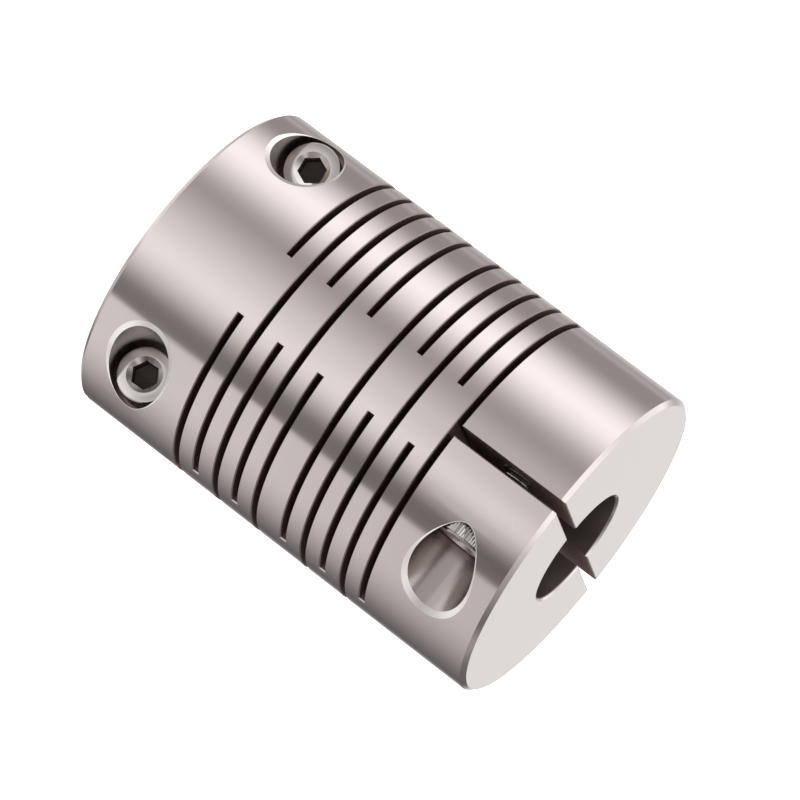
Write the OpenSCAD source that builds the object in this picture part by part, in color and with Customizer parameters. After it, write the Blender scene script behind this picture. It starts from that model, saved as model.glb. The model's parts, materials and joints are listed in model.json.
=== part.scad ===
// Parallel-slit clamp coupling: a one-piece slit body and four socket-head clamp screws.
// Sizes are in millimetres. The shaft axis is Z, the lower end face is at z = 0 and the front is -Y.
// Lower clamp screws lie along Y with their heads in front, upper ones along X with their heads at +X.

/* [Body] */
// Outside diameter
outside_d = 34; // [32:0.5:40]
// Length of each clamping hub
hub_len = 12; // [10:0.5:16]
// Width of the slits in the flexing part
slit_w = 0.6; // [0.4:0.1:1]
// Thickness of the disc between two slits of a group
land_t = 1.8; // [1.2:0.1:3]
// Thickness of the wider disc between the two groups
mid_land_t = 3; // [2:0.1:6]
// Number of slits in each group
group_slits = 5; // [2:1:6]
// Width of the two bridges left across each slit
bridge_w = 7; // [5:0.5:9]
// Chamfer on the outer edge of both end faces
edge_chamfer = 0.45; // [0.2:0.05:0.8]
// Break of the outside edges of every slit
edge_break = 0.1; // [0.05:0.05:0.2]

/* [Bores] */
// Shaft bore of both hubs
bore_d = 12; // [8:0.5:14]
// Chamfer at the mouth of each bore
bore_chamfer = 0.25; // [0.1:0.05:0.6]
// Radial step from the shaft bores to the relief bore between them
relief_step = 0.5; // [0.2:0.1:1]
// Width of the clamping slit across each hub
clamp_slit_w = 1.2; // [0.8:0.1:2]

/* [Clamp screws] */
// Thread diameter
screw_d = 3; // [2.5:0.1:3.5]
// Length under the head
screw_len = 12; // [9:0.5:13]
// Head diameter
head_d = 5.5; // [5:0.1:6]
// Head height
head_h = 3; // [2.5:0.1:3.5]
// Chamfer on the top edge of the head
head_chamfer = 0.25; // [0.1:0.05:0.5]
// Hexagon socket, across the flats
hex_af = 2.5; // [2:0.1:3]
// Depth of the socket
hex_depth = 1.6; // [1:0.1:2]
// Chamfer at the mouth of the socket, beyond its corners
hex_chamfer = 0.35; // [0.1:0.05:0.5]
// Chamfer at the tip of the thread
tip_chamfer = 0.4; // [0.2:0.05:0.6]

/* [Screw seats] */
// Height of the head seat above the middle of the clamping slit
seat_h = 4.7; // [3.8:0.1:5]
// Least wall outside the head counterbore
rim_wall = 1.2; // [0.8:0.1:1.6]
// Chamfer round the mouth of the counterbore
rim_chamfer = 0.4; // [0.2:0.05:0.5]
// Share of that chamfer left on the thin wall, where it runs out
rim_least = 0.15; // [0.1:0.05:1]

/* [Fits] */
// Radial room round the screw head
head_gap = 0.45; // [0.2:0.05:0.6]
// Radial room round the shank in the head jaw
shank_gap = 0.2; // [0.1:0.05:0.3]
// Radial room of the thread in the tapped jaw
thread_gap = 0.05; // [0.02:0.01:0.1]
// Room between the tip of the screw and the bottom of its tapped hole
tip_room = 0.8; // [0.3:0.1:1]

/* [Hidden] */

$fn = 96;
body_colour = [0.78, 0.76, 0.75];
screw_colour = [0.7, 0.69, 0.68];

// Body
outside_r = outside_d / 2;
bore_r = bore_d / 2;
relief_r = bore_r + relief_step;
slit_pitch = slit_w + land_t;
slit_count = 2 * group_slits;
group_shift = mid_land_t - land_t;
flex_len = slit_count * slit_w + (slit_count - 2) * land_t + mid_land_t;
body_len = 2 * hub_len + flex_len;
lower_z = hub_len / 2;
upper_z = body_len - hub_len / 2;

// Screws and their seats
screw_r = screw_d / 2;
head_r = head_d / 2;
head_top = seat_h + head_h;
screw_tip = seat_h - screw_len;
hex_r = hex_af / 2 / cos(30);
mouth_r = hex_r + hex_chamfer;
mouth_depth = (mouth_r - hex_af / 2) * tan(30);
counterbore_r = head_r + head_gap;
tapped_r = screw_r + thread_gap;
tapped_bottom = screw_tip - tip_room;
drill_point = tapped_r / tan(59);
screw_offset = outside_r - rim_wall - counterbore_r;

// How far cutters reach: right across the body, clear of a surface, and past both edges of a rim chamfer
reach = outside_d;
proud = 1;
overrun = 0.5;
rim_facets = 72;

// Where the turned surfaces start and end: at the back
seam_turn = 90;

// How far each screw is turned about its axis
turn_lower_left = 8;
turn_lower_right = 33;
turn_upper_front = 21;
turn_upper_back = 47;

// Height of the lower side of a slit, counted from the lower hub
function slit_z(k) = hub_len + k * slit_pitch + (k >= group_slits ? group_shift : 0);

// Height of the outside of the body over a point of a screw's frame
function outside_h(side, x) = sqrt(pow(outside_r, 2) - pow(side * screw_offset + x, 2));

// Size of the chamfer round a counterbore: whole on the side of the shaft, running out on the other
function rim_size(side, a) = rim_chamfer * max(rim_least, min(1, 1 - side * cos(a)));

// Point of the chamfer round a counterbore: share 0 is on its wall, 1 on the outside of the body
function rim_point(side, a, share) =
    let (
        size = rim_size(side, a),
        r = counterbore_r + share * size,
        wall_h = outside_h(side, counterbore_r * cos(a)) - size,
        rim_h = outside_h(side, (counterbore_r + size) * cos(a))
    )
    [r * cos(a), r * sin(a), wall_h + share * (rim_h - wall_h)];

// Stands a screw's frame in the lower hub: x square to the shaft, y up it, z along the screw to its head
module in_lower_hub(side) {
    translate([side * screw_offset, 0, lower_z])
        rotate([90, 0, 0])
            children();
}

// Stands a screw's frame in the upper hub: x square to the shaft, y up it, z along the screw to its head
module in_upper_hub(side) {
    translate([0, side * screw_offset, upper_z])
        rotate([0, 90, 0])
            rotate([0, 0, 90])
                children();
}

// Turned blank with both shaft bores, the relief bore and the edge chamfers
module turned_blank() {
    rotate([0, 0, seam_turn])
        rotate_extrude()
            polygon([
                [bore_r + bore_chamfer, 0],
                [outside_r - edge_chamfer, 0],
                [outside_r, edge_chamfer],
                [outside_r, body_len - edge_chamfer],
                [outside_r - edge_chamfer, body_len],
                [bore_r + bore_chamfer, body_len],
                [bore_r, body_len - bore_chamfer],
                [bore_r, body_len - hub_len],
                [relief_r, body_len - hub_len],
                [relief_r, hub_len],
                [bore_r, hub_len],
                [bore_r, bore_chamfer]
            ]);
}

// Section across the mouth of a slit, flared to break its edges, with the outside at y = 0
module slit_mouth(width) {
    polygon([
        [-width / 2, -edge_break],
        [width / 2, -edge_break],
        [width / 2 + edge_break + proud, proud],
        [-width / 2 - edge_break - proud, proud]
    ]);
}

// One slit, sawn in from two opposite sides so that two bridges stay
module flex_slit(z, turn) {
    translate([0, 0, z + slit_w / 2])
        rotate([0, 0, turn])
            for (side = [0, 180])
                rotate([0, 0, side])
                    intersection() {
                        rotate_extrude()
                            union() {
                                translate([0, -slit_w / 2])
                                    square([outside_r, slit_w]);
                                translate([outside_r, 0])
                                    rotate(-90)
                                        slit_mouth(slit_w);
                            }
                        translate([bridge_w / 2, -reach, -reach])
                            cube([reach, 2 * reach, 2 * reach]);
                    }
}

// Clamping slit along y, running from an end face at z = 0 down into the first slit of the flexing part
module clamp_slit() {
    translate([-clamp_slit_w / 2, -reach, -hub_len - slit_w / 2])
        cube([clamp_slit_w, 2 * reach, hub_len + slit_w / 2 + proud]);
    rotate([90, 0, 0])
        linear_extrude(2 * reach, center = true)
            slit_mouth(clamp_slit_w);
    for (turn = [0, 180])
        rotate([0, 0, turn])
            translate([0, outside_r, -hub_len])
                linear_extrude(hub_len + proud)
                    slit_mouth(clamp_slit_w);
}

// Cuts the chamfer round the mouth of a counterbore, which follows the round outside of the body
module rim_cut(side) {
    angles = [for (i = [0 : rim_facets - 1]) 360 * i / rim_facets];
    inner = [for (a = angles) rim_point(side, a, -overrun)];
    outer = [for (a = angles) rim_point(side, a, 1 + overrun)];
    top = [for (p = outer) [p.x, p.y, outside_r + proud]];
    low_middle = [0, 0, outside_h(side, 0)];
    high_middle = [0, 0, outside_r + proud];
    n = rim_facets;
    polyhedron(
        points = concat([low_middle], inner, outer, top, [high_middle]),
        faces = [
            for (i = [0 : n - 1])
                let (a = 1 + i, b = 1 + (i + 1) % n)
                each [
                    [0, a, b],
                    [a, a + n, b + n, b],
                    [a + n, a + 2 * n, b + 2 * n, b + n],
                    [a + 2 * n, 3 * n + 1, b + 2 * n]
                ]
        ]
    );
}

// Counterbore and clearance hole in one jaw, blind tapped hole in the other
module screw_hole(side) {
    translate([0, 0, seat_h])
        cylinder(h = reach, r = counterbore_r);
    rim_cut(side);
    cylinder(h = seat_h + proud, r = screw_r + shank_gap);
    translate([0, 0, tapped_bottom])
        cylinder(h = -tapped_bottom, r = tapped_r);
    translate([0, 0, tapped_bottom - drill_point])
        cylinder(h = drill_point, r1 = 0, r2 = tapped_r);
}

// Socket-head cap screw in its own frame
module clamp_screw(turn) {
    rotate([0, 0, turn])
        difference() {
            rotate_extrude()
                polygon([
                    [0, screw_tip],
                    [screw_r - tip_chamfer, screw_tip],
                    [screw_r, screw_tip + tip_chamfer],
                    [screw_r, seat_h],
                    [head_r, seat_h],
                    [head_r, head_top - head_chamfer],
                    [head_r - head_chamfer, head_top],
                    [0, head_top]
                ]);
            translate([0, 0, head_top - hex_depth])
                cylinder(h = hex_depth + proud, r = hex_r, $fn = 6);
            translate([0, 0, head_top - mouth_depth])
                cylinder(h = mouth_depth, r1 = hex_af / 2, r2 = mouth_r);
        }
}

module coupling_body() {
    color(body_colour)
        difference() {
            turned_blank();
            for (k = [0 : slit_count - 1])
                flex_slit(slit_z(k), k % 2 == 0 ? 0 : 90);
            translate([0, 0, body_len])
                clamp_slit();
            rotate([180, 0, 90])
                clamp_slit();
            for (side = [-1, 1]) {
                in_lower_hub(side) screw_hole(side);
                in_upper_hub(side) screw_hole(side);
            }
        }
}

module screw_lower_left() {
    color(screw_colour)
        in_lower_hub(-1) clamp_screw(turn_lower_left);
}

module screw_lower_right() {
    color(screw_colour)
        in_lower_hub(1) clamp_screw(turn_lower_right);
}

module screw_upper_front() {
    color(screw_colour)
        in_upper_hub(-1) clamp_screw(turn_upper_front);
}

module screw_upper_back() {
    color(screw_colour)
        in_upper_hub(1) clamp_screw(turn_upper_back);
}

coupling_body();
screw_lower_left();
screw_lower_right();
screw_upper_front();
screw_upper_back();
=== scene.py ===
"""Looks of a parallel-slit clamp coupling: steel finishes, detailed clamp screws, studio and camera.

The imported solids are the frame. The slit body keeps its solid and gets a finish, and each clamp
screw is modelled again in the same place with a knurled head, a hexagon socket and a real thread.
Sizes are in millimetres, except those of the floor and the camera, which are in metres.
"""

from __future__ import annotations

import json
import logging
import math
from dataclasses import dataclass, field
from enum import Enum
from typing import Any

import bmesh
import bpy
from mathutils import Matrix, Vector

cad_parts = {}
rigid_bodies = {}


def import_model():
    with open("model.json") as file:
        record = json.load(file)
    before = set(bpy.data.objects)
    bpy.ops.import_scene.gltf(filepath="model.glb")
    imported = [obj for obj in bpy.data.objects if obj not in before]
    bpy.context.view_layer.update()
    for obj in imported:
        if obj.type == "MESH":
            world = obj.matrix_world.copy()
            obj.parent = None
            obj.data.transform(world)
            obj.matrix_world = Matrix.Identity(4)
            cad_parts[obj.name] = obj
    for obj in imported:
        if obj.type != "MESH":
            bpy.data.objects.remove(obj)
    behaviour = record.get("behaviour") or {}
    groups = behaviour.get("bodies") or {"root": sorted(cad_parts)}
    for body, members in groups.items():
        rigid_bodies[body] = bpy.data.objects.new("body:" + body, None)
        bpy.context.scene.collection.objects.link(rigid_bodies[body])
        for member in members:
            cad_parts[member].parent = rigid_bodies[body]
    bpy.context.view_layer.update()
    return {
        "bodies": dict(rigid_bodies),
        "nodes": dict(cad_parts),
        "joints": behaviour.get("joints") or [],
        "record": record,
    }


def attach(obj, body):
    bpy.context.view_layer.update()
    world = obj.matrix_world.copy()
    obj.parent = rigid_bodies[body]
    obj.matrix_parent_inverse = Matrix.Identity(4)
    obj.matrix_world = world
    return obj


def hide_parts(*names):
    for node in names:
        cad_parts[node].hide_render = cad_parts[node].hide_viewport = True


log = logging.getLogger("coupling")

MM = 0.001
ROOT = "root"
RECESS = "recess"

# How far from a surface still counts as on it, and how wide the soft edge of a mask is
SLACK = 0.01
SOFT = 0.02

# Distance within which vertices merge: on a thread, on a whole screw and, in metres, on the floor
THREAD_WELD = 1e-3
SCREW_WELD = 1e-4
FLOOR_WELD = 1e-6

# Distance from a cutting plane within which a vertex counts as on it
CUT_SLACK = 1e-5

# Places of the colours among the sockets of a Mix node
FIRST_COLOUR = 6
SECOND_COLOUR = 7
MIXED_COLOUR = 2

Colour = tuple[float, float, float]
Point = tuple[float, float, float]
Span = tuple[float, float]


class Hub(Enum):
    """The two clamping hubs of the coupling."""

    LOWER = "lower"
    UPPER = "upper"


class Wire:
    """A shader value whose operators add Math nodes."""

    def __init__(self, graph: Graph, socket: bpy.types.NodeSocket) -> None:
        """Keep the graph and the output socket."""
        self.graph = graph
        self.socket = socket

    def _math(self, operation: str, first: Any, second: Any = None) -> Wire:
        """Add one Math node.

        Args:
            operation: The node's operation.
            first: First number or wire.
            second: Second number or wire, where the operation has one.

        Returns:
            The node's result.
        """
        inputs = {0: first}
        if second is not None:
            inputs[1] = second
        made = self.graph.node("ShaderNodeMath", {"operation": operation}, inputs)
        return Wire(self.graph, made.outputs[0])

    def __add__(self, other: Any) -> Wire:
        """Sum."""
        return self._math("ADD", self, other)

    def __radd__(self, other: Any) -> Wire:
        """Sum with the wire on the right."""
        return self._math("ADD", other, self)

    def __sub__(self, other: Any) -> Wire:
        """Difference."""
        return self._math("SUBTRACT", self, other)

    def __rsub__(self, other: Any) -> Wire:
        """Difference with the wire on the right."""
        return self._math("SUBTRACT", other, self)

    def __mul__(self, other: Any) -> Wire:
        """Product."""
        return self._math("MULTIPLY", self, other)

    def __rmul__(self, other: Any) -> Wire:
        """Product with the wire on the right."""
        return self._math("MULTIPLY", other, self)

    def __truediv__(self, other: Any) -> Wire:
        """Quotient."""
        return self._math("DIVIDE", self, other)

    def __rtruediv__(self, other: Any) -> Wire:
        """Quotient with the wire on the right."""
        return self._math("DIVIDE", other, self)

    def __abs__(self) -> Wire:
        """Size without the sign."""
        return self._math("ABSOLUTE", self)

    def fraction(self) -> Wire:
        """Part above the whole number below."""
        return self._math("FRACT", self)

    def root(self) -> Wire:
        """Square root."""
        return self._math("SQRT", self)

    def larger(self, other: Any) -> Wire:
        """The larger of two values."""
        return self._math("MAXIMUM", self, other)

    def smaller(self, other: Any) -> Wire:
        """The smaller of two values."""
        return self._math("MINIMUM", self, other)

    def between(self, first: Any, second: Any) -> Wire:
        """A value from first, where the wire is 0, to second, where it is 1."""
        return first + self * (second - first)

    def angle_from(self, across: Wire) -> Wire:
        """Angle of the point (across, self) about the origin."""
        return self._math("ARCTAN2", self, across)

    def step(self, start: float, end: float, low: float = 0.0, high: float = 1.0) -> Wire:
        """Ease from one value to another over a range.

        Args:
            start: Where the change starts.
            end: Where it ends.
            low: Value before the start.
            high: Value after the end.

        Returns:
            The eased value.
        """
        made = self.graph.node(
            "ShaderNodeMapRange",
            {"interpolation_type": "SMOOTHSTEP"},
            {"Value": self, "From Min": start, "From Max": end, "To Min": low, "To Max": high},
        )
        return Wire(self.graph, made.outputs[0])

    def fade(self, start: float, end: float) -> Wire:
        """Ease from 1 to 0 over a range."""
        return self.step(start, end, 1.0, 0.0)


class Graph:
    """Node tree of one material or of the world."""

    def __init__(self, tree: bpy.types.NodeTree) -> None:
        """Empty the tree."""
        self.tree = tree
        tree.nodes.clear()

    def node(
        self,
        kind: str,
        settings: dict[str, Any] | None = None,
        inputs: dict[int | str, Any] | None = None,
    ) -> bpy.types.Node:
        """Add a node.

        Args:
            kind: The node's type.
            settings: Its settings, which are set first.
            inputs: Numbers, colours, wires or sockets for its inputs.

        Returns:
            The new node.
        """
        made = self.tree.nodes.new(kind)
        for name, value in (settings or {}).items():
            setattr(made, name, value)
        for name, value in (inputs or {}).items():
            if isinstance(value, Wire):
                self.tree.links.new(value.socket, made.inputs[name])
            elif isinstance(value, bpy.types.NodeSocket):
                self.tree.links.new(value, made.inputs[name])
            else:
                made.inputs[name].default_value = value
        return made

    def parts(self, socket: bpy.types.NodeSocket) -> tuple[Wire, Wire, Wire]:
        """Split a vector.

        Args:
            socket: The vector.

        Returns:
            Its three parts.
        """
        made = self.node("ShaderNodeSeparateXYZ", None, {0: socket})
        return Wire(self, made.outputs[0]), Wire(self, made.outputs[1]), Wire(self, made.outputs[2])

    def place(self) -> tuple[Wire, Wire, Wire]:
        """The object's own coordinates, in millimetres."""
        made = self.node("ShaderNodeTexCoord")
        x, y, z = self.parts(made.outputs["Object"])
        return x * (1 / MM), y * (1 / MM), z * (1 / MM)

    def grain(self, along: Wire, per_mm: float, detail: float = 2.0) -> Wire:
        """Random lines across one direction.

        Args:
            along: Distance in that direction, in millimetres.
            per_mm: How many changes there are in a millimetre.
            detail: Octaves of finer lines.

        Returns:
            Noise about 0.5.
        """
        made = self.node(
            "ShaderNodeTexNoise",
            {"noise_dimensions": "1D"},
            {"W": along, "Scale": per_mm, "Detail": detail},
        )
        return Wire(self, made.outputs[0])

    def clouds(self, per_metre: float, detail: float = 3.0) -> Wire:
        """Soft blotches all over the object.

        Args:
            per_metre: How many there are in a metre.
            detail: Octaves of finer blotches.

        Returns:
            Noise about 0.5.
        """
        coordinates = self.node("ShaderNodeTexCoord")
        made = self.node(
            "ShaderNodeTexNoise",
            None,
            {"Vector": coordinates.outputs["Object"], "Scale": per_metre, "Detail": detail},
        )
        return Wire(self, made.outputs[0])

    def attribute(self, name: str) -> Wire:
        """A number stored on the mesh."""
        return Wire(self, self.node("ShaderNodeAttribute", {"attribute_name": name}).outputs["Fac"])

    def mix(self, share: Wire, first: Any, second: Any) -> bpy.types.NodeSocket:
        """Mix two colours.

        Args:
            share: Share of the second colour.
            first: First colour or socket.
            second: Second colour or socket.

        Returns:
            The mixed colour.
        """
        colours = {
            place: colour if isinstance(colour, bpy.types.NodeSocket) else (*colour, 1.0)
            for place, colour in ((FIRST_COLOUR, first), (SECOND_COLOUR, second))
        }
        made = self.node("ShaderNodeMix", {"data_type": "RGBA"}, {"Factor": share, **colours})
        return made.outputs[MIXED_COLOUR]

    def bump(self, height: Wire, strength: float, distance_mm: float) -> bpy.types.NodeSocket:
        """Turn a height into a normal.

        Args:
            height: Height from 0 to 1.
            strength: Share of the effect.
            distance_mm: Height of 1, in millimetres.

        Returns:
            The bent normal.
        """
        made = self.node(
            "ShaderNodeBump",
            None,
            {"Strength": strength, "Distance": distance_mm * MM, "Height": height},
        )
        return made.outputs["Normal"]

    def surface(self, inputs: dict[int | str, Any]) -> None:
        """Finish a material with a Principled shader.

        Args:
            inputs: Values and links of the shader's sockets.
        """
        shader = self.node("ShaderNodeBsdfPrincipled", None, inputs)
        self.node("ShaderNodeOutputMaterial", None, {"Surface": shader.outputs[0]})


def new_material(name: str) -> tuple[bpy.types.Material, Graph]:
    """Start a material.

    Args:
        name: Its name.

    Returns:
        The material and its empty node tree.
    """
    made = bpy.data.materials.new(name)
    made.use_nodes = True
    return made, Graph(made.node_tree)


def lay_chain(mesh: bmesh.types.BMesh, points: list[Span]) -> list[Any]:
    """Lay a chain of edges in the plane of the axis.

    Args:
        mesh: Mesh to add to.
        points: Radius and height of each vertex.

    Returns:
        The new vertices and edges.
    """
    verts = [mesh.verts.new((r, 0.0, z)) for r, z in points]
    edges = [mesh.edges.new(pair) for pair in zip(verts, verts[1:])]
    return [*verts, *edges]


def turn_round(mesh: bmesh.types.BMesh, points: list[Span], steps: int) -> None:
    """Turn a section once round the axis.

    Args:
        mesh: Mesh to add to.
        points: Radius and height of each point of the section.
        steps: Steps of the turn.
    """
    bmesh.ops.spin(
        mesh,
        geom=lay_chain(mesh, points),
        cent=(0.0, 0.0, 0.0),
        axis=(0.0, 0.0, 1.0),
        dvec=(0.0, 0.0, 0.0),
        angle=math.tau,
        steps=steps,
        use_merge=True,
    )


def close_up(mesh: bmesh.types.BMesh, weld: float) -> None:
    """Merge doubles and point every face outwards.

    Args:
        mesh: Mesh to close.
        weld: Distance within which vertices merge.
    """
    bmesh.ops.remove_doubles(mesh, verts=mesh.verts[:], dist=weld)
    bmesh.ops.recalc_face_normals(mesh, faces=mesh.faces[:])


def add_object(name: str, mesh: bmesh.types.BMesh, finish: bpy.types.Material) -> bpy.types.Object:
    """Add a mesh to the scene, shaded smooth.

    Args:
        name: Name of the object and its mesh.
        mesh: The mesh, which is freed.
        finish: Its material.

    Returns:
        The new object.
    """
    data = bpy.data.meshes.new(name)
    mesh.to_mesh(data)
    mesh.free()
    data.shade_smooth()
    data.materials.append(finish)
    made = bpy.data.objects.new(name, data)
    bpy.context.scene.collection.objects.link(made)
    return made


@dataclass(frozen=True)
class ScrewForm:
    """Sizes of a socket-head clamp screw, with angles in degrees.

    The thread's depth and section are given in pitches: its root is flat up to root_end, and its
    crest from crest_start to crest_end. It is wound from lead_in below the tip and cut off there.
    """

    thread_r: float = 1.5
    length: float = 12.0
    pitch: float = 0.5
    thread_depth: float = 0.6134
    root_end: float = 4 / 16
    crest_start: float = 9 / 16
    crest_end: float = 11 / 16
    lead_in: float = 1.5
    turn_steps: int = 48
    tip_chamfer: float = 0.4
    neck_len: float = 0.45
    neck_collar: float = 0.1
    head_r: float = 2.75
    head_h: float = 3.0
    head_chamfer: float = 0.16
    crown_share: float = 0.3
    seat_bevel: float = 0.12
    ridges: int = 60
    ridge_depth: float = 0.13
    ridge_fade: float = 0.08
    plain_band: float = 0.04
    hex_af: float = 2.5
    hex_depth: float = 1.6
    hex_chamfer: float = 0.35
    mouth_slope: float = 30.0
    drill_point: float = 0.45
    sharp_angle: float = 24.0

    @property
    def around(self) -> int:
        """Steps round the head, two for each ridge."""
        return 2 * self.ridges

    @property
    def hex_corner_r(self) -> float:
        """Radius of the socket's corners."""
        return self.hex_af / 2 / math.cos(math.pi / 6)

    @property
    def mouth_r(self) -> float:
        """Radius of the chamfer at the socket's mouth."""
        return self.hex_corner_r + self.hex_chamfer

    @property
    def root_r(self) -> float:
        """Radius of the thread's root."""
        return self.thread_r - self.thread_depth * self.pitch

    def hex_r(self, angle: float) -> float:
        """Radius of the hexagon at an angle from one of its corners."""
        within = math.fmod(angle + 2 * math.tau, math.pi / 3) - math.pi / 6
        return self.hex_af / 2 / math.cos(within)


@dataclass(frozen=True)
class BodyForm:
    """Sizes of the slit body and its screws, as in the part's source."""

    screw: ScrewForm = field(default_factory=ScrewForm)
    outside_r: float = 17.0
    hub_len: float = 12.0
    slit_w: float = 0.6
    land_t: float = 1.8
    mid_land_t: float = 3.0
    group_slits: int = 5
    bridge_w: float = 7.0
    edge_break: float = 0.1
    bore_r: float = 6.0
    clamp_slit_w: float = 1.2
    seat_h: float = 4.7
    head_gap: float = 0.45
    rim_wall: float = 1.2
    rim_chamfer: float = 0.4
    rim_least: float = 0.15

    @property
    def length(self) -> float:
        """Length from one end face to the other."""
        slits = 2 * self.group_slits
        flexing = slits * self.slit_w + (slits - 2) * self.land_t + self.mid_land_t
        return 2 * self.hub_len + flexing

    @property
    def middle(self) -> float:
        """Height of the middle of the body."""
        return self.length / 2

    @property
    def upper_hub(self) -> float:
        """Height where the upper hub starts."""
        return self.length - self.hub_len

    @property
    def slit_pitch(self) -> float:
        """Distance from one slit to the next."""
        return self.slit_w + self.land_t

    @property
    def first_slit(self) -> float:
        """Distance of the first slit of each group from the middle of the body."""
        return (self.mid_land_t + self.slit_w) / 2

    @property
    def lower_z(self) -> float:
        """Height of the lower screws."""
        return self.hub_len / 2

    @property
    def upper_z(self) -> float:
        """Height of the upper screws."""
        return self.length - self.hub_len / 2

    @property
    def counterbore_r(self) -> float:
        """Radius of the counterbores round the screw heads."""
        return self.screw.head_r + self.head_gap

    @property
    def screw_offset(self) -> float:
        """Distance of the screws from the shaft axis."""
        return self.outside_r - self.rim_wall - self.counterbore_r

    @property
    def head_top(self) -> float:
        """Height of a screw head's top above the middle of the clamping slit."""
        return self.seat_h + self.screw.head_h

    @property
    def screw_tip(self) -> float:
        """Height of a screw's tip above the middle of the clamping slit."""
        return self.seat_h - self.screw.length


@dataclass
class BodyRegions:
    """Masks of the slit body's surfaces, told apart by their place.

    A depth is measured from the surface that a mask belongs to, and says where the mask fades. The
    mask of a group of slits reaches group_reach pitches beyond the last one, and each slit's lower
    side ends half_fade to either side of its middle.
    """

    form: BodyForm
    graph: Graph
    slit_depth: Span = (0.16, 0.09)
    bore_depth: Span = (0.02, 0.12)
    face_depth: float = 0.04
    seat_depth: Span = (0.2, 0.1)
    group_reach: float = 0.4
    half_fade: float = 0.05

    def __post_init__(self) -> None:
        """Work out the distances that the masks share."""
        x, y, z = self.graph.place()
        middle = self.form.middle
        blend = self.form.mid_land_t / 3
        self.across_x = abs(x)
        self.across_y = abs(y)
        self.z = z
        self.out = abs(z - middle)
        self.radius = (x * x + y * y).root()
        self.upper = z.step(middle - blend, middle + blend)
        self.height = self.upper.between(y * -1.0, x)

    def slits(self, edge_shade: float) -> Wire:
        """Mask of the slits in the flexing part.

        Args:
            edge_shade: Value on the lower side of each slit, out to its broken edge.

        Returns:
            1 inside the slits, edge_shade on those edges and 0 elsewhere.
        """
        form = self.form
        deep, shallow = self.slit_depth
        inside = self.radius.fade(form.outside_r - deep, form.outside_r - shallow)
        flexing = self.z.step(form.hub_len - SOFT, form.hub_len)
        flexing = flexing * self.z.fade(form.upper_hub, form.upper_hub + SOFT)
        return (inside * flexing).larger(self._lower_sides() * edge_shade)

    def _lower_sides(self) -> Wire:
        """Mask of the lower side of the slits in the flexing part, out to their broken edges.

        Returns:
            1 on the lower side of each slit and on its edge, and 0 elsewhere.
        """
        form = self.form
        count = (self.out - form.first_slit) * (1 / form.slit_pitch) + 0.5
        above = (count.fraction() - 0.5) * form.slit_pitch * (self.upper * 2.0 - 1.0)
        odd = (count * 0.5).fraction().step(0.5 - SLACK, 0.5 + SLACK)
        across = abs(self.upper - odd).between(self.across_x, self.across_y)
        edge = -form.slit_w / 2 - form.edge_break
        start = form.first_slit - form.slit_w
        end = form.first_slit + (form.group_slits - 1 + self.group_reach) * form.slit_pitch
        lower = above.step(edge - SLACK, edge) * above.fade(-self.half_fade, self.half_fade)
        group = self.out.step(start, start + SLACK) * self.out.fade(end, end + SLACK)
        return lower * group * across.step(form.bridge_w / 2, form.bridge_w / 2 + SOFT)

    def clamp_slits(self, edge_shade: float) -> Wire:
        """Mask of both clamping slits.

        Args:
            edge_shade: Value on their broken edges.

        Returns:
            1 on the walls, edge_shade on the edges and 0 elsewhere.
        """
        form = self.form
        wall = form.clamp_slit_w / 2 + SLACK
        edge = wall + form.edge_break
        in_upper = self.z.step(form.upper_hub - SOFT, form.upper_hub)
        in_lower = self.z.fade(form.hub_len, form.hub_len + SOFT)
        masks = []
        for across, hub in ((self.across_x, in_upper), (self.across_y, in_lower)):
            shade = across.step(wall, wall + SOFT, 1.0, edge_shade)
            masks.append(shade * across.fade(edge, edge + SOFT) * hub)
        return masks[0].larger(masks[1])

    def pockets(self) -> tuple[Wire, Wire]:
        """Masks of the four screw counterbores and of the chamfers round them.

        Returns:
            1 in the counterbores, and 1 on the chamfers, which get a painted highlight.
        """
        form = self.form
        across = self.upper.between(self.across_x, self.across_y) - form.screw_offset
        along = self.out - (form.upper_z - form.middle)
        distance = (across * across + along * along).root()
        wall = form.counterbore_r + SLACK
        deep, shallow = self.seat_depth
        above_seat = self.height.step(form.seat_h - deep, form.seat_h - shallow)
        pocket = distance.fade(wall, wall + SOFT) * above_seat
        chamfer = (1.0 - across / distance).smaller(1.0).larger(form.rim_least) * form.rim_chamfer
        edge = (distance - chamfer).fade(form.counterbore_r, form.counterbore_r + SOFT)
        rim_highlight = distance.step(wall, wall + SOFT) * edge * above_seat
        return pocket, rim_highlight

    def bores(self) -> Wire:
        """Mask of the shaft bores."""
        near, far = self.bore_depth
        return self.radius.fade(self.form.bore_r + near, self.form.bore_r + far)

    def ends(self) -> Wire:
        """Mask of both end faces."""
        top = self.form.length
        return self.z.fade(0.0, self.face_depth).larger(self.z.step(top - self.face_depth, top))


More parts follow.
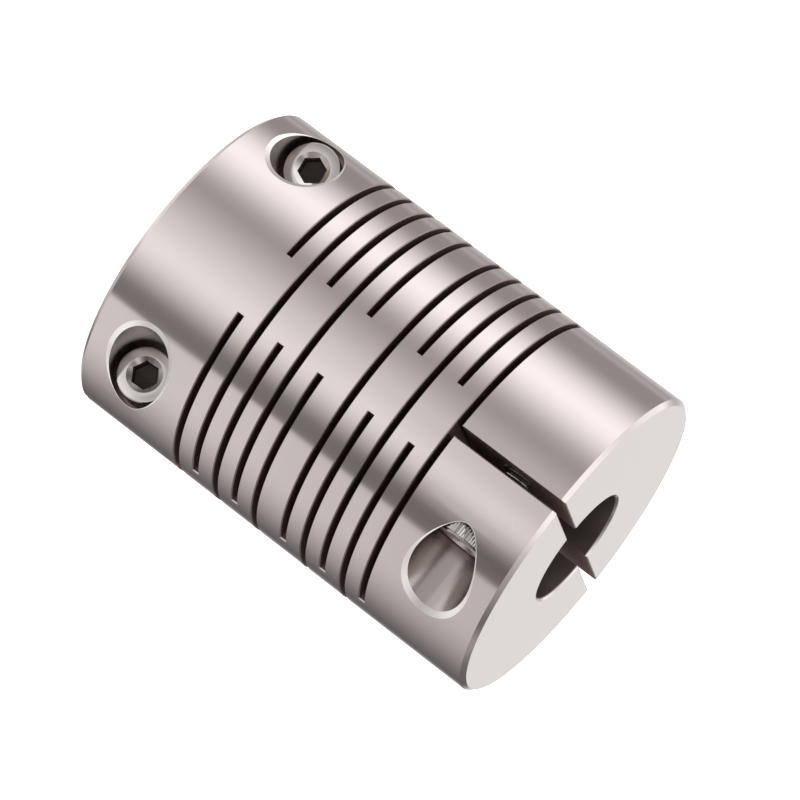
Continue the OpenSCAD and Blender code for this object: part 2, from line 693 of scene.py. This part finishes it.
@dataclass(frozen=True)
class BodySteel:
    """Fine-turned stainless steel, with sawn slits and bored holes rougher and darker, the darkness
    partly their finish and partly painted shade.

    Lines are turning marks, counted per millimetre. The wall of a counterbore is darkened by painted
    shade round the screw's head and grows lighter over wall_shade, which is measured up from the top
    of the screw's head.
    """

    bright: Colour = (0.82, 0.748, 0.733)
    worked: Colour = (0.77, 0.703, 0.688)
    faced: Colour = (0.738, 0.697, 0.671)
    # Near-white painted highlight on the chamfer round each counterbore
    rim_highlight: Colour = (0.97, 0.945, 0.93)
    pocket: Colour = (0.56, 0.508, 0.486)
    # Painted shade on a counterbore's wall round the screw's head
    pocket_painted_shade: Colour = (0.22, 0.168, 0.156)
    # Bores and slits: partly their rougher cut finish, partly painted shade inside them
    bored: Colour = (0.23, 0.187, 0.173)
    sawn: Colour = (0.42, 0.325, 0.295)
    slit: Colour = (0.22, 0.16, 0.145)
    edge_shade: float = 0.75
    clamp_edge_shade: float = 0.1
    wall_shade: Span = (-0.3, 1.4)
    bright_roughness: float = 0.13
    face_roughness: float = 0.24
    pocket_roughness: float = 0.24
    rim_roughness: float = 0.38
    bored_roughness: float = 0.45
    sawn_roughness: float = 0.6
    clouds_per_metre: float = 90.0
    cloud_span: Span = (0.3, 0.75)
    cloud_share: float = 0.35
    cloud_roughness: float = 0.05
    outside_lines: float = 14.0
    face_lines: float = 11.0
    pocket_lines: float = 9.0
    pocket_marks: float = 30.0
    line_roughness: float = 0.03
    line_strength: float = 0.25
    line_depth: float = 0.0012

    def material(self, form: BodyForm) -> bpy.types.Material:
        """Make the finish.

        Args:
            form: Sizes that tell the surfaces apart.

        Returns:
            The material.
        """
        made, graph = new_material("turned_body_steel")
        regions = BodyRegions(form, graph)
        slit = regions.slits(self.edge_shade)
        clamp = regions.clamp_slits(self.clamp_edge_shade)
        pocket, rim_highlight = regions.pockets()
        bored = regions.bores()
        ends = regions.ends()
        outside_grain = graph.grain(regions.z, self.outside_lines)
        end_grain = graph.grain(regions.radius, self.face_lines)
        pocket_grain = graph.grain(regions.height, self.pocket_lines)
        clouds = graph.clouds(self.clouds_per_metre)

        # Painted shade on the counterbore walls, fading out above the screw's head
        dark, light = self.wall_shade
        open_wall = regions.height.step(form.head_top + dark, form.head_top + light)
        walls = graph.mix(open_wall, self.pocket_painted_shade, self.pocket)
        colour = graph.mix(clouds.step(*self.cloud_span) * self.cloud_share, self.bright, self.worked)
        colour = graph.mix(ends, colour, self.faced)
        colour = graph.mix(pocket, colour, walls)
        # Painted highlight on the counterbore chamfers
        colour = graph.mix(rim_highlight, colour, self.rim_highlight)
        # Bores and slits darkened, partly for their cut finish and partly as painted shade, out to the
        # lower sides of the slit edges
        colour = graph.mix(bored, colour, self.bored)
        colour = graph.mix(clamp, colour, self.sawn)
        colour = graph.mix(slit, colour, self.slit)

        roughness = self.bright_roughness + (clouds - 0.5) * self.cloud_roughness
        roughness = roughness + (outside_grain - 0.5) * self.line_roughness
        roughness = ends.between(roughness, self.face_roughness)
        roughness = pocket.between(roughness, self.pocket_roughness)
        roughness = rim_highlight.between(roughness, self.rim_roughness)
        roughness = bored.between(roughness, self.bored_roughness)
        roughness = slit.larger(clamp).between(roughness, self.sawn_roughness)

        lines = ends.between(outside_grain, end_grain)
        lines = pocket.between(lines, pocket_grain * self.pocket_marks)
        normal = graph.bump(lines, self.line_strength, self.line_depth)
        graph.surface({"Base Color": colour, "Metallic": 1.0, "Roughness": roughness, "Normal": normal})
        return made


@dataclass(frozen=True)
class ScrewSteel:
    """Bright stainless steel of a rolled and headed screw, with painted shade in its recesses."""

    bright: Colour = (0.78, 0.75, 0.735)
    dull: Colour = (0.66, 0.63, 0.615)
    # Near-black painted shade in the socket, the crown's edge, the knurl's valleys and the thread
    painted_recess_shade: Colour = (0.07, 0.058, 0.053)
    roughness: float = 0.14
    recess_roughness: float = 0.5
    clouds_per_metre: float = 500.0
    cloud_span: Span = (0.35, 0.7)
    cloud_share: float = 0.4
    cloud_roughness: float = 0.05
    specks_per_metre: float = 9000.0
    speck_detail: float = 2.0
    speck_strength: float = 0.12
    speck_depth: float = 0.002

    def material(self) -> bpy.types.Material:
        """Make the finish, which reads the mesh's own mask of painted shade in the recesses.

        Returns:
            The material.
        """
        made, graph = new_material("clamp_screw_steel")
        recess = graph.attribute(RECESS)
        clouds = graph.clouds(self.clouds_per_metre)
        specks = graph.clouds(self.specks_per_metre, self.speck_detail)
        colour = graph.mix(clouds.step(*self.cloud_span) * self.cloud_share, self.bright, self.dull)
        # Painted shade in the recesses
        colour = graph.mix(recess, colour, self.painted_recess_shade)
        roughness = self.roughness + (clouds - 0.5) * self.cloud_roughness
        roughness = recess.between(roughness, self.recess_roughness)
        normal = graph.bump(specks, self.speck_strength, self.speck_depth)
        graph.surface({"Base Color": colour, "Metallic": 1.0, "Roughness": roughness, "Normal": normal})
        return made


@dataclass(frozen=True)
class FloorPaint:
    """Plain white studio floor, lit from below so that it stays pale."""

    colour: Colour = (0.9, 0.9, 0.9)
    light: Colour = (1.0, 1.0, 1.0)
    glow: float = 0.72
    roughness: float = 0.9

    def material(self) -> bpy.types.Material:
        """Make the finish.

        Returns:
            The material.
        """
        made, graph = new_material("studio_floor_white")
        graph.surface(
            {
                "Base Color": (*self.colour, 1.0),
                "Roughness": self.roughness,
                "Emission Color": (*self.light, 1.0),
                "Emission Strength": self.glow,
            }
        )
        return made


@dataclass
class CouplingBody:
    """The one-piece slit body, which keeps its solid."""

    form: BodyForm
    finish: BodySteel = field(default_factory=BodySteel)
    node: str = "coupling_body"

    def dress(self, frame: dict[str, Any]) -> None:
        """Give the solid its finish.

        Args:
            frame: The loaded frame.
        """
        solid = frame["nodes"][self.node]
        solid.data.materials.clear()
        solid.data.materials.append(self.finish.material(self.form))
        log.info("dressed %s", self.node)


@dataclass(frozen=True)
class PaintedRecessShade:
    """How much painted shade each recess of a screw gets, from 0 to 1, and the depths where it starts.
    """

    crown: float = 0.75
    valley: float = 0.5
    valley_start: float = 0.3
    thread_root: float = 0.95
    thread_crest: float = 0.1
    socket_start: float = 0.5
    socket_full: float = 1.0
    seat_room: float = 0.05


@dataclass
class ClampScrew:
    """One clamp screw, modelled in its own frame with z along it to the head and placed in its hub."""

    node: str
    hub: Hub
    side: int
    turn: float
    body: BodyForm
    recess_shade: PaintedRecessShade = field(default_factory=PaintedRecessShade)

    @property
    def form(self) -> ScrewForm:
        """Sizes of the screw itself."""
        return self.body.screw

    def placing(self) -> Matrix:
        """Work out where the screw stands.

        Returns:
            Matrix from the screw's frame, in millimetres, to the part's.
        """
        turn = Matrix.Rotation(math.radians(self.turn), 4, "Z")
        quarter = math.radians(90)
        if self.hub is Hub.LOWER:
            where = Vector((self.side * self.body.screw_offset, 0.0, self.body.lower_z))
            stand = Matrix.Rotation(quarter, 4, "X")
        else:
            where = Vector((0.0, self.side * self.body.screw_offset, self.body.upper_z))
            stand = Matrix.Rotation(quarter, 4, "Y") @ Matrix.Rotation(quarter, 4, "Z")
        return Matrix.Scale(MM, 4) @ Matrix.Translation(where) @ stand @ turn

    def build(self, steel: bpy.types.Material) -> bpy.types.Object:
        """Model the screw and add it to the scene.

        Args:
            steel: Its finish.

        Returns:
            The new object.
        """
        mesh = bmesh.new()
        self._thread(mesh)
        self._head(mesh)
        self._socket(mesh)
        self._join_neck(mesh)
        close_up(mesh, SCREW_WELD)
        self._mark_recesses(mesh)
        mesh.transform(self.placing())
        made = add_object("clamp_" + self.node, mesh, steel)
        made.data.set_sharp_from_angle(angle=math.radians(self.form.sharp_angle))
        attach(made, ROOT)
        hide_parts(self.node)
        log.info("built %s with %d faces", made.name, len(made.data.polygons))
        return made

    def _thread(self, mesh: bmesh.types.BMesh) -> None:
        """Wind the thread from the tip to the neck and close its tip.

        Args:
            mesh: Mesh to add to.
        """
        form = self.form
        pitch = form.pitch
        tip = self.body.screw_tip
        low = tip - form.lead_in * pitch
        neck = self.body.seat_h - form.neck_len
        turns = math.ceil((neck - low) / pitch) + 1
        section = [
            (form.root_r, low),
            (form.root_r, low + pitch * form.root_end),
            (form.thread_r, low + pitch * form.crest_start),
            (form.thread_r, low + pitch * form.crest_end),
            (form.root_r, low + pitch),
        ]
        bmesh.ops.spin(
            mesh,
            geom=lay_chain(mesh, section),
            cent=(0.0, 0.0, 0.0),
            axis=(0.0, 0.0, 1.0),
            dvec=(0.0, 0.0, pitch / form.turn_steps),
            angle=turns * math.tau,
            steps=turns * form.turn_steps,
        )
        bmesh.ops.remove_doubles(mesh, verts=mesh.verts[:], dist=THREAD_WELD)
        self._cut(mesh, tip, False)
        self._cut(mesh, neck, True)
        for vert in mesh.verts:
            most = form.thread_r - form.tip_chamfer + vert.co.z - tip
            radius = vert.co.xy.length
            if radius > most:
                vert.co.xy *= most / radius
        bmesh.ops.edgeloop_fill(mesh, edges=self._open_edges(mesh, tip))

    @staticmethod
    def _cut(mesh: bmesh.types.BMesh, height: float, above: bool) -> None:
        """Cut the mesh off at a height.

        Args:
            mesh: Mesh to cut.
            height: Where.
            above: Whether what is above goes, or what is below.
        """
        bmesh.ops.bisect_plane(
            mesh,
            geom=[*mesh.verts, *mesh.edges, *mesh.faces],
            dist=CUT_SLACK,
            plane_co=(0.0, 0.0, height),
            plane_no=(0.0, 0.0, 1.0),
            clear_outer=above,
            clear_inner=not above,
        )

    @staticmethod
    def _open_edges(mesh: bmesh.types.BMesh, height: float) -> list[bmesh.types.BMEdge]:
        """Find the open edges at a height.

        Args:
            mesh: Mesh to look in.
            height: Their height.

        Returns:
            The edges.
        """
        return [
            edge
            for edge in mesh.edges
            if edge.is_boundary and all(abs(v.co.z - height) < SCREW_WELD for v in edge.verts)
        ]

    def _head(self, mesh: bmesh.types.BMesh) -> None:
        """Turn the head from the socket's mouth to the underside and press its ridges.

        Args:
            mesh: Mesh to add to.
        """
        form = self.form
        top = self.body.head_top
        seat = self.body.seat_h
        crown = top - form.head_chamfer
        bulge = form.head_chamfer * form.crown_share
        ridge_top = crown - form.plain_band
        ridge_low = seat + form.seat_bevel + form.plain_band
        section = [
            (form.mouth_r, top),
            (form.head_r - form.head_chamfer, top),
            (form.head_r - bulge, top - bulge),
            (form.head_r, crown),
            (form.head_r, ridge_top),
            (form.head_r, ridge_top - form.ridge_fade),
            (form.head_r, ridge_low + form.ridge_fade),
            (form.head_r, ridge_low),
            (form.head_r, seat + form.seat_bevel),
            (form.head_r - form.seat_bevel, seat),
            (form.thread_r + form.neck_collar, seat),
        ]
        before = set(mesh.verts)
        turn_round(mesh, section, form.around)
        step = math.tau / form.around
        for vert in [v for v in mesh.verts if v not in before]:
            on_band = ridge_low + SLACK < vert.co.z < ridge_top - SLACK
            valley = round(math.atan2(vert.co.y, vert.co.x) / step) % 2 == 1
            if on_band and valley:
                vert.co.xy *= (form.head_r - form.ridge_depth) / form.head_r

    def _socket(self, mesh: bmesh.types.BMesh) -> None:
        """Sink the hexagon socket from the mouth's ring: its chamfer, its wall and its drill point.

        Args:
            mesh: Mesh to add to.
        """
        form = self.form
        top = self.body.head_top
        floor = top - form.hex_depth
        slope = math.tan(math.radians(form.mouth_slope))
        ring, verts = self._extrude(mesh, self._open_edges(mesh, top))
        for vert in verts:
            radius = form.hex_r(math.atan2(vert.co.y, vert.co.x))
            vert.co.xy *= radius / vert.co.xy.length
            vert.co.z = top - (form.mouth_r - radius) * slope
        ring, verts = self._extrude(mesh, ring)
        for vert in verts:
            vert.co.z = floor
        _, verts = self._extrude(mesh, ring)
        bmesh.ops.pointmerge(mesh, verts=verts, merge_co=(0.0, 0.0, floor - form.drill_point))

    @staticmethod
    def _extrude(mesh: bmesh.types.BMesh, ring: list[Any]) -> tuple[list[Any], list[Any]]:
        """Extrude a ring of edges in place.

        Args:
            mesh: Mesh to add to.
            ring: The edges.

        Returns:
            The new edges and the new vertices.
        """
        made = bmesh.ops.extrude_edge_only(mesh, edges=ring)["geom"]
        edges = [g for g in made if isinstance(g, bmesh.types.BMEdge)]
        verts = [g for g in made if isinstance(g, bmesh.types.BMVert)]
        return edges, verts

    @staticmethod
    def _join_neck(mesh: bmesh.types.BMesh) -> None:
        """Join the thread to the underside of the head, which are the two loops still open."""
        bmesh.ops.bridge_loops(mesh, edges=[e for e in mesh.edges if e.is_boundary])

    def _mark_recesses(self, mesh: bmesh.types.BMesh) -> None:
        """Mark the painted shade of the socket, the crown's edge, the valleys between the ridges and
        the thread.

        Args:
            mesh: Mesh to mark.
        """
        layer = mesh.verts.layers.float.new(RECESS)
        for vert in mesh.verts:
            vert[layer] = self._shade_at(vert.co.xy.length, vert.co.z)

    def _shade_at(self, radius: float, height: float) -> float:
        """How much painted shade a place on the screw gets.

        Args:
            radius: Distance from the screw's axis.
            height: Height in the screw's frame.

        Returns:
            A share from 0 to 1.
        """
        form = self.form
        recess_shade = self.recess_shade
        depth = self.body.head_top - height
        on_head = height > self.body.seat_h + recess_shade.seat_room
        in_valley = radius < form.head_r - form.ridge_depth + 2 * SLACK
        if on_head and radius < form.mouth_r - SLACK:
            share = (depth - recess_shade.socket_start) / (recess_shade.socket_full - recess_shade.socket_start)
            return min(1.0, max(0.0, share))
        if abs(depth - form.head_chamfer) < SLACK:
            return recess_shade.crown
        if on_head and in_valley and depth > recess_shade.valley_start:
            return recess_shade.valley
        if height < self.body.seat_h:
            return recess_shade.thread_root if radius < form.root_r + 2 * SLACK else recess_shade.thread_crest
        return 0.0


@dataclass(frozen=True)
class Softbox:
    """A tall soft light, placed by its angle round the part from the camera's side.

    Angles are in degrees and grow counter-clockwise from above. The light grows from start to full,
    holds to fade and ends at end. Its brightness turns from low to high about a rise, which is the
    sine of a height above the horizon. A black card, which takes light away, has a negative one.
    """

    start: float
    full: float
    fade: float
    end: float
    low: float
    high: float
    rise: float = -0.225
    blend: float = 0.105

    def light(self, angle: Wire, rise: Wire) -> Wire:
        """Brightness in a direction.

        Args:
            angle: Angle round the part, in degrees.
            rise: Sine of the height above the horizon.

        Returns:
            The brightness.
        """
        width = angle.step(self.start, self.full) * angle.fade(self.fade, self.end)
        return width * rise.step(self.rise - self.blend, self.rise + self.blend, self.low, self.high)


@dataclass
class StudioLight:
    """Soft boxes round the part, an overhead light and a light table, far enough away to be the world.

    The overhead light is a wide disc, placed by its angle round the part and its rise in degrees.
    Each edge or foot is a span of sines over which a light starts or ends.
    """

    facing: float = -83.06
    ambient: float = 0.14
    overhead: float = 0.75
    overhead_angle: float = -108.0
    overhead_rise: float = 55.0
    overhead_edge: Span = (0.5, 0.8)
    table: float = 0.42
    table_share: float = 0.75
    ceiling: float = 0.3
    ceiling_edge: Span = (0.7, 0.95)
    box_edge: Span = (0.55, 0.75)
    box_foot: Span = (-0.85, -0.6)
    full_light: float = 0.9
    shade_tint: Colour = (1.0, 0.945, 0.94)
    light_tint: Colour = (1.0, 0.99, 0.985)
    boxes: tuple[Softbox, ...] = (
        Softbox(-122.0, -76.0, -80.0, -36.0, 0.88, 0.88),
        Softbox(-170.0, -150.0, 24.0, 48.0, 0.19, 0.19),
        Softbox(-150.0, -145.0, -143.0, -136.0, 0.14, 0.14),
        Softbox(-52.0, 18.0, 5.0, 44.0, 0.725, 0.48),
        Softbox(-14.0, -4.0, 2.0, 16.0, 0.0, -0.19),
        Softbox(18.0, 30.0, 36.0, 46.0, 0.0, -0.18),
        Softbox(36.0, 44.0, 50.0, 56.0, 0.06, 0.0),
        Softbox(50.2, 53.2, 84.0, 156.0, 0.62, 0.37),
        Softbox(42.0, 56.0, 90.0, 140.0, 0.0, 0.6, 0.02),
        Softbox(158.0, 174.0, 190.0, 200.0, 0.53, 0.77),
        Softbox(-200.0, -190.0, -176.0, -144.0, 0.53, 0.77),
    )

    def build(self) -> None:
        """Make the world."""
        world = bpy.data.worlds.new("studio_light")
        bpy.context.scene.world = world
        world.use_nodes = True
        graph = Graph(world.node_tree)
        direction = graph.node("ShaderNodeTexCoord").outputs["Generated"]
        turned = graph.node(
            "ShaderNodeVectorRotate",
            {"rotation_type": "Z_AXIS"},
            {"Vector": direction, "Angle": math.radians(-self.facing)},
        )
        x, y, z = graph.parts(turned.outputs[0])
        angle = y.angle_from(x) * math.degrees(1.0)
        around = self.boxes[0].light(angle, z)
        for box in self.boxes[1:]:
            around = around + box.light(angle, z)
        level = z.fade(*self.box_edge) * z.step(*self.box_foot, self.table_share, 1.0)
        rise = math.radians(self.overhead_rise)
        turn = math.radians(self.overhead_angle)
        above = x * (math.cos(rise) * math.cos(turn)) + y * (math.cos(rise) * math.sin(turn))
        above = above + z * math.sin(rise)
        light = self.ambient + around * level + above.step(*self.overhead_edge) * self.overhead
        light = light + z.step(*self.ceiling_edge) * self.ceiling
        light = light + z.fade(*self.box_foot) * self.table
        tint = graph.mix(light.step(self.ambient, self.full_light), self.shade_tint, self.light_tint)
        background = graph.node("ShaderNodeBackground", None, {"Color": tint, "Strength": light})
        graph.node("ShaderNodeOutputWorld", None, {"Surface": background.outputs[0]})
        log.info("lit the studio with %d soft boxes", len(self.boxes))


@dataclass
class StudioFloor:
    """A white floor that curves up into a wall all round, far outside the part, in metres."""

    flat_r: float = 1.2
    sweep_r: float = 0.5
    sweep_steps: int = 8
    wall_h: float = 2.0
    turn_steps: int = 96
    paint: FloorPaint = field(default_factory=FloorPaint)

    def build(self) -> bpy.types.Object:
        """Make the floor, hidden from reflections and from casting shadows.

        Returns:
            The floor.
        """
        points = [(0.0, 0.0), (self.flat_r, 0.0)]
        for i in range(1, self.sweep_steps + 1):
            angle = math.radians(90 * i / self.sweep_steps)
            out = self.sweep_r * math.sin(angle)
            points.append((self.flat_r + out, self.sweep_r * (1 - math.cos(angle))))
        points.append((self.flat_r + self.sweep_r, self.wall_h))
        mesh = bmesh.new()
        turn_round(mesh, points, self.turn_steps)
        close_up(mesh, FLOOR_WELD)
        made = add_object("studio_floor", mesh, self.paint.material())
        made.visible_glossy = False
        made.visible_shadow = False
        log.info("laid the floor")
        return made


@dataclass
class PhotoCamera:
    """The camera that the photograph was taken with, in metres and degrees, its lens in millimetres."""

    eye: Point = (0.049887, -0.418366, 0.133894)
    look: Point = (-0.11704, 0.96107, -0.25029)
    roll: float = 127.137
    lens: float = 205.565
    sensor: float = 36.0

    def build(self) -> bpy.types.Object:
        """Make the camera and give it to the scene.

        Returns:
            The camera.
        """
        look = Vector(self.look).normalized()
        level = look.cross(Vector((0.0, 0.0, 1.0))).normalized()
        rise = level.cross(look)
        roll = math.radians(self.roll)
        right = level * math.cos(roll) + rise * math.sin(roll)
        up = right.cross(look)
        data = bpy.data.cameras.new("photo_camera")
        data.lens = self.lens
        data.sensor_width = self.sensor
        made = bpy.data.objects.new("photo_camera", data)
        turned = Matrix((right, up, -look)).transposed().to_4x4()
        made.matrix_world = Matrix.Translation(Vector(self.eye)) @ turned
        bpy.context.scene.collection.objects.link(made)
        bpy.context.scene.camera = made
        log.info("set the camera")
        return made


def main() -> None:
    """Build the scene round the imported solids."""
    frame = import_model()
    PhotoCamera().build()
    StudioLight().build()
    StudioFloor().build()
    body = BodyForm()
    CouplingBody(body).dress(frame)
    screws = [
        ClampScrew("screw_lower_left", Hub.LOWER, -1, 8.0, body),
        ClampScrew("screw_lower_right", Hub.LOWER, 1, 33.0, body),
        ClampScrew("screw_upper_front", Hub.UPPER, -1, 21.0, body),
        ClampScrew("screw_upper_back", Hub.UPPER, 1, 47.0, body),
    ]
    steel = ScrewSteel().material()
    for screw in screws:
        screw.build(steel)
    view = bpy.context.scene.view_settings
    view.view_transform = "Standard"
    view.look = "None"


if __name__ == "__main__":
    logging.basicConfig(level=logging.INFO, format="%(message)s")
    main()
